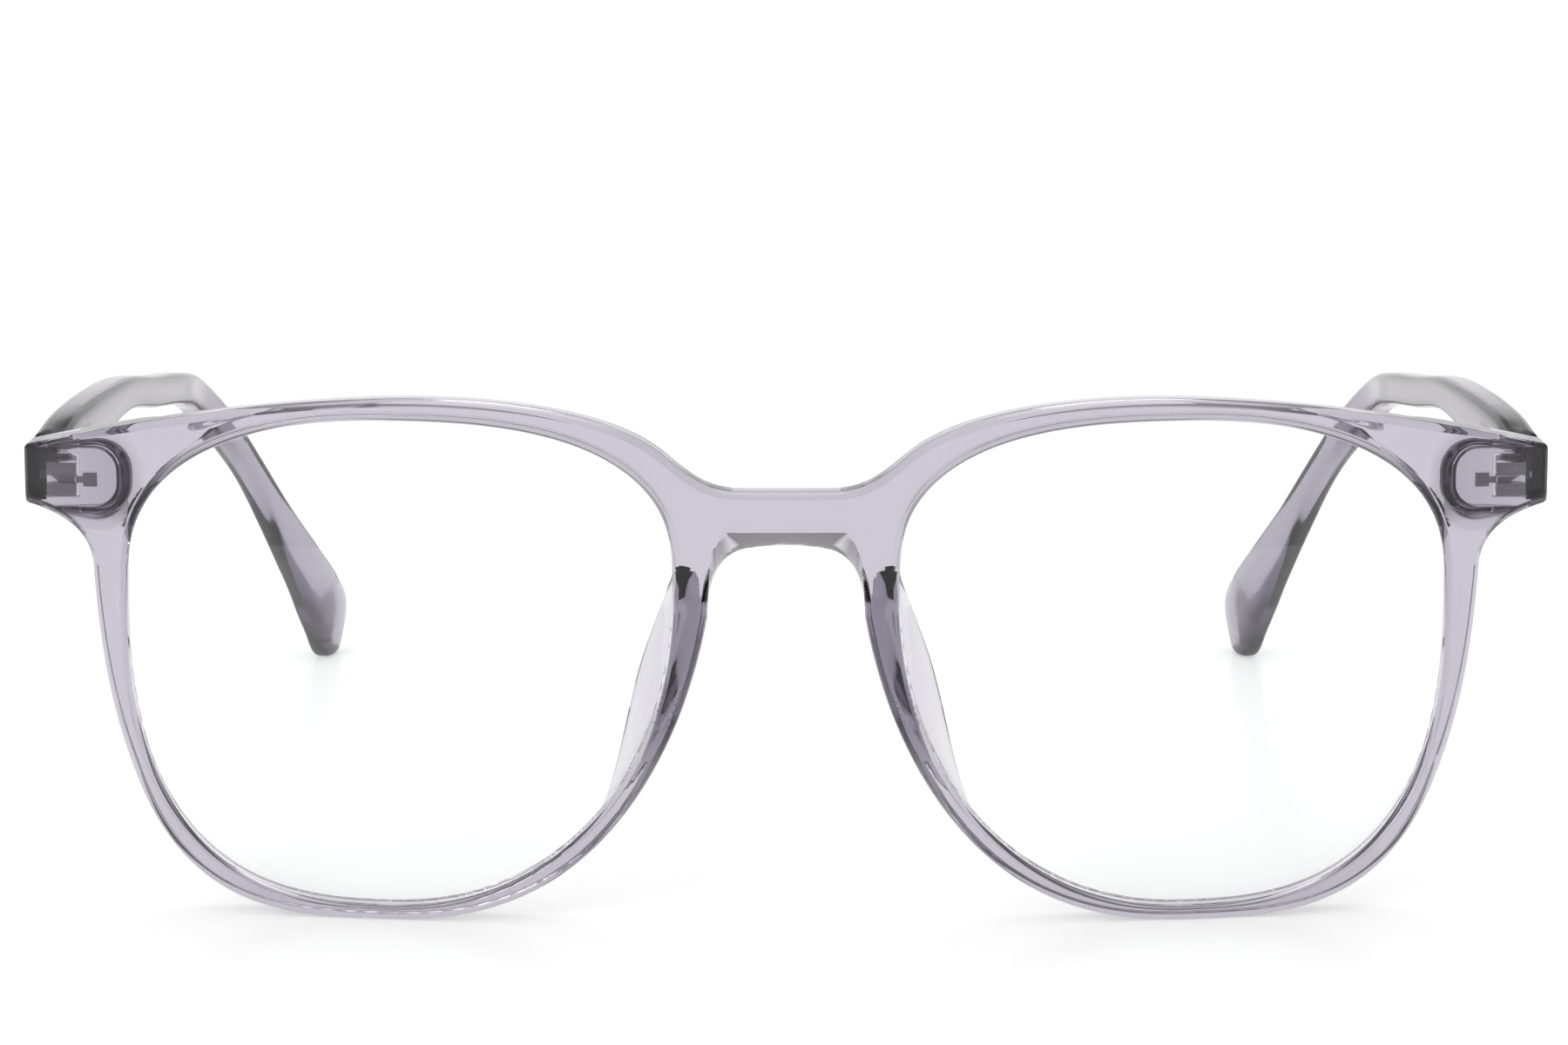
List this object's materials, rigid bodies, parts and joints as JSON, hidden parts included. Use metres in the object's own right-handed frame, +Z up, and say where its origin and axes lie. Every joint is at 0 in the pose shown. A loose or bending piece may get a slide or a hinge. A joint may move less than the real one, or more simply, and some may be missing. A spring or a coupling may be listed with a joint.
{
  "type": "eyeglasses",
  "caption": "Rectangular eyeglasses with softly rounded clear grey plastic rims, moulded nose pads and temples that fold on screwed metal hinges",
  "frame": {"origin": "middle of the bounding box in X and Y, at the level on which the lower rims and the temple tips stand", "axes": "+X towards the wearer's left, +Y from the front of the glasses back to the temple tips, +Z up; the wearer looks along -Y"},
  "size_m": [0.1428, 0.1358, 0.0493],
  "materials": {
    "clear_grey_plastic": "polished, transparent",
    "lens": "polished",
    "hinge_metal": "satin",
    "screw_metal": "polished"
  },
  "bodies": {
    "front": {"front_frame": "clear_grey_plastic", "lens_right": "lens", "lens_left": "lens", "front_hinge_leaf_right": "hinge_metal", "front_hinge_leaf_left": "hinge_metal", "hinge_screw_right": "screw_metal", "hinge_screw_left": "screw_metal"},
    "right_temple": {"temple_right": "clear_grey_plastic", "temple_hinge_leaf_right": "hinge_metal"},
    "left_temple": {"temple_left": "clear_grey_plastic", "temple_hinge_leaf_left": "hinge_metal"}
  },
  "joints": [
    {"name": "left_hinge", "type": "hinge", "parent": "front", "child": "left_temple", "pos_m": [0.0678, -0.05289, 0.04065], "axis": [0, 0, 1], "range_deg": [0, 84]},
    {"name": "right_hinge", "type": "hinge", "parent": "front", "child": "right_temple", "pos_m": [-0.0678, -0.05289, 0.04065], "axis": [0, 0, -1], "range_deg": [0, 78]}
  ]
}
